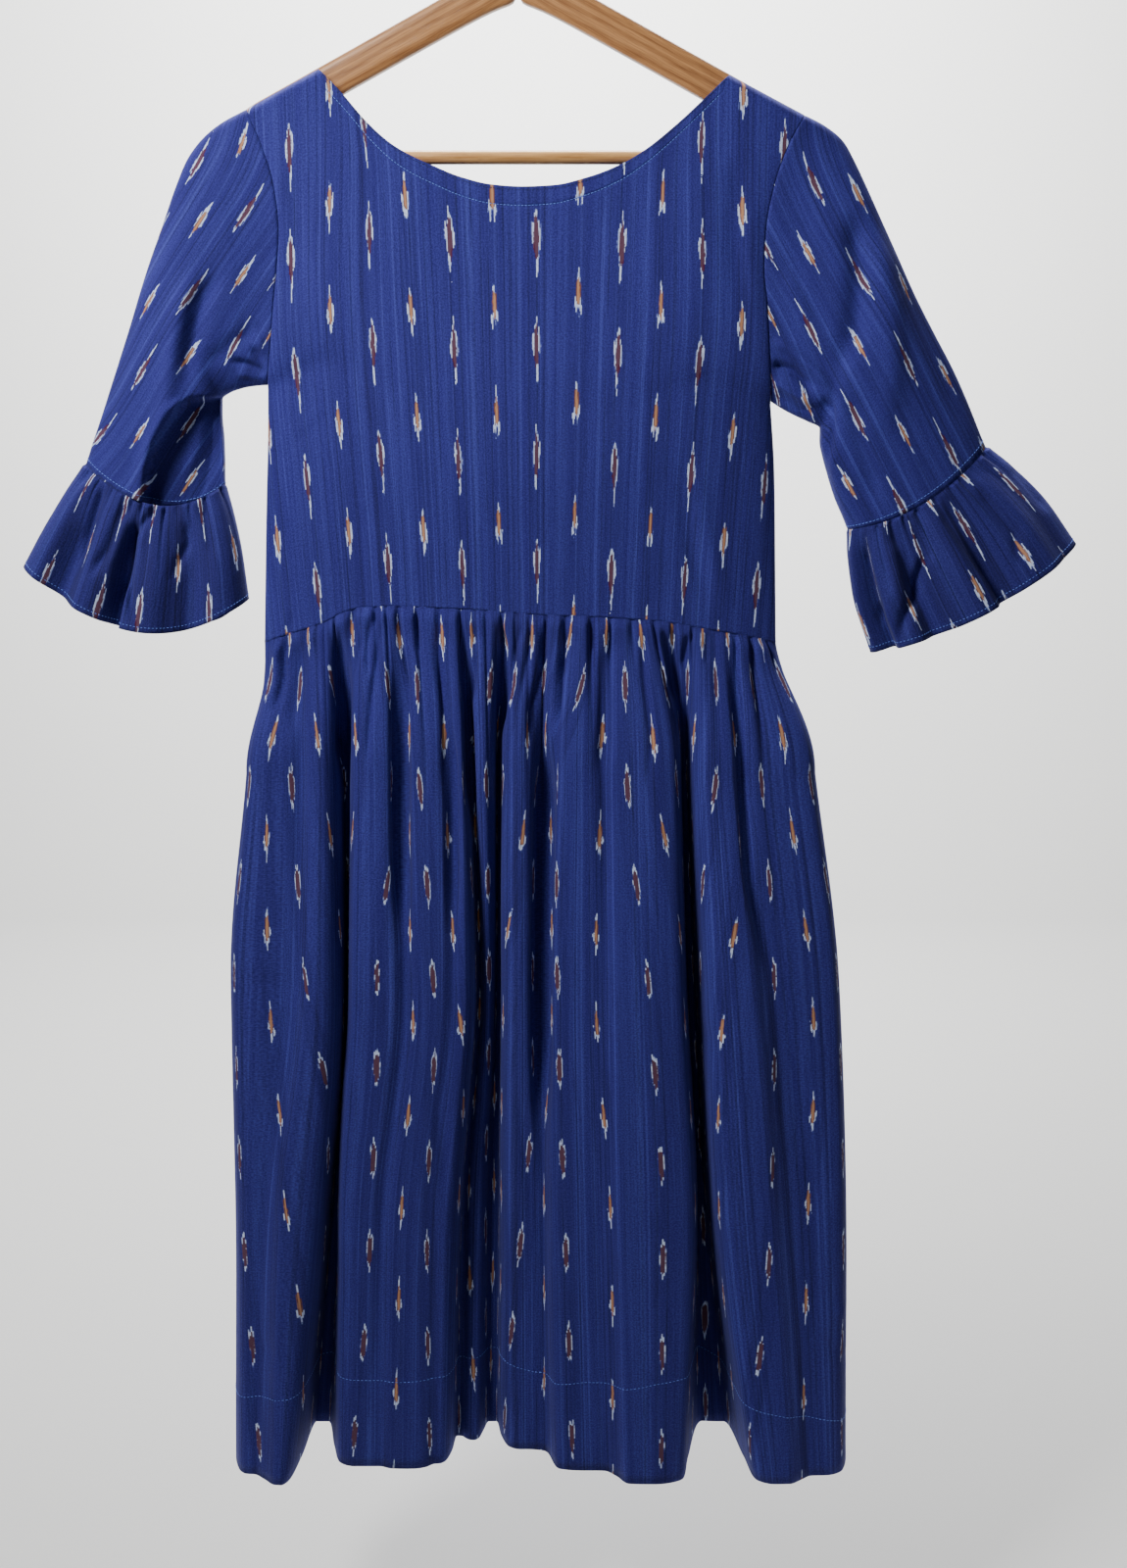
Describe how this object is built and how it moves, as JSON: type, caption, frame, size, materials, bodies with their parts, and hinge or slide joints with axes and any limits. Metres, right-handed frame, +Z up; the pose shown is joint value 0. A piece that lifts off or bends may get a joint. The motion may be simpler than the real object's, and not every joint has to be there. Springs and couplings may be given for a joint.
{
  "type": "midi dress on a wooden hanger",
  "caption": "Midi dress with a scoop neck, elbow sleeves with ruffled cuffs and a gathered skirt, hanging on a wooden hanger with a trouser bar.",
  "frame": {"origin": "inner top of the hanger's hook, where the rail touches it", "axes": "+Z up, the front of the dress faces -Y, +X to the viewer's right"},
  "size_m": [0.8294, 0.1403, 1.2836],
  "materials": {
    "ikat_cotton": "matt woven cotton, blue with an ikat pattern in rows",
    "hanger_wood": "clear varnished wood",
    "bar_wood": "pale turned wood",
    "hook_steel": "plated steel wire"
  },
  "bodies": {
    "root": {"bodice_front": "ikat_cotton", "bodice_back": "ikat_cotton", "sleeve_left": "ikat_cotton", "sleeve_right": "ikat_cotton", "ruffle_left": "ikat_cotton", "ruffle_right": "ikat_cotton", "skirt_front": "ikat_cotton", "skirt_back": "ikat_cotton", "hanger_arm_left": "hanger_wood", "hanger_arm_right": "hanger_wood", "hanger_bar": "bar_wood", "hanger_hook": "hook_steel"}
  },
  "joints": []
}
